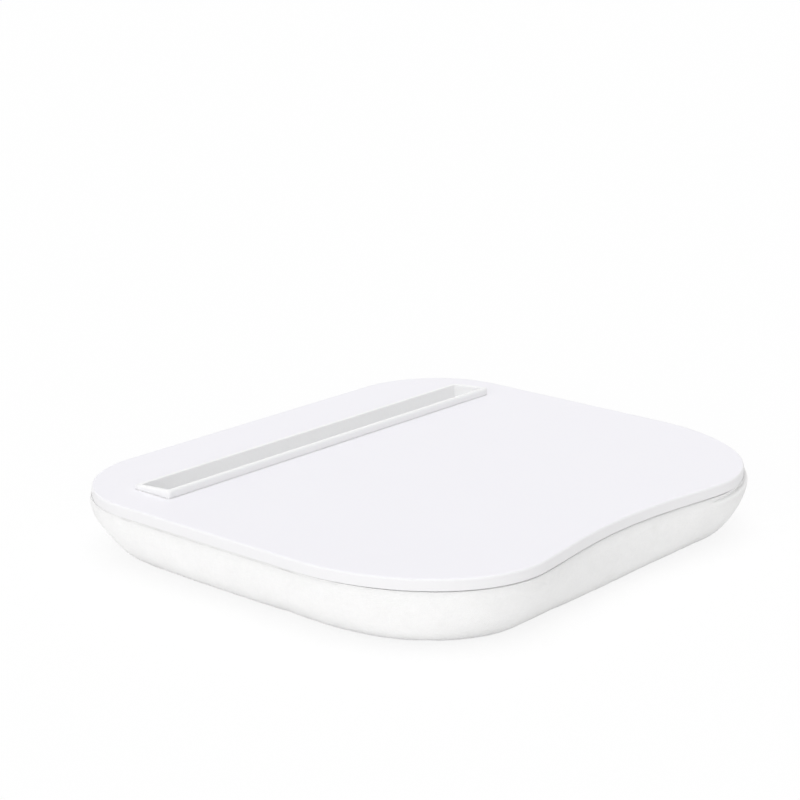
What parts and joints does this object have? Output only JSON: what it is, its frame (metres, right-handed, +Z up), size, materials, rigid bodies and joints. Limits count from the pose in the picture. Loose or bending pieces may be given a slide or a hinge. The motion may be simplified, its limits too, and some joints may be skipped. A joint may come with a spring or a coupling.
{
  "type": "tablet lap tray",
  "caption": "Flat white lap tray on a bead-filled cushion, with a raised slot near the back edge that holds a tablet upright and a belly cut in the front edge.",
  "frame": {"origin": "middle of the footprint, on the surface that the cushion stands on", "axes": "+X to the user's right, -Y towards the user, +Z up"},
  "size_m": [0.308, 0.278, 0.043],
  "materials": {
    "board_white": "white satin lacquer on fibreboard",
    "moulded_white": "moulded, satin",
    "cover_cloth": "brushed knit with a short nap",
    "lining_cloth": "plain weave",
    "tape_hook": "hook tape",
    "tape_loop": "loop tape",
    "bag_cloth": "thin lining filled with beads"
  },
  "bodies": {
    "root": {"deck_board": "board_white", "slot_insert": "moulded_white", "cushion_cover": "cover_cloth", "cushion_top_panel": "lining_cloth", "bead_bag": "bag_cloth", "hook_tape_front_left": "tape_hook", "hook_tape_front_right": "tape_hook", "hook_tape_back_left": "tape_hook", "hook_tape_back_right": "tape_hook", "loop_tape_front_left": "tape_loop", "loop_tape_front_right": "tape_loop", "loop_tape_back_left": "tape_loop", "loop_tape_back_right": "tape_loop"}
  },
  "joints": []
}
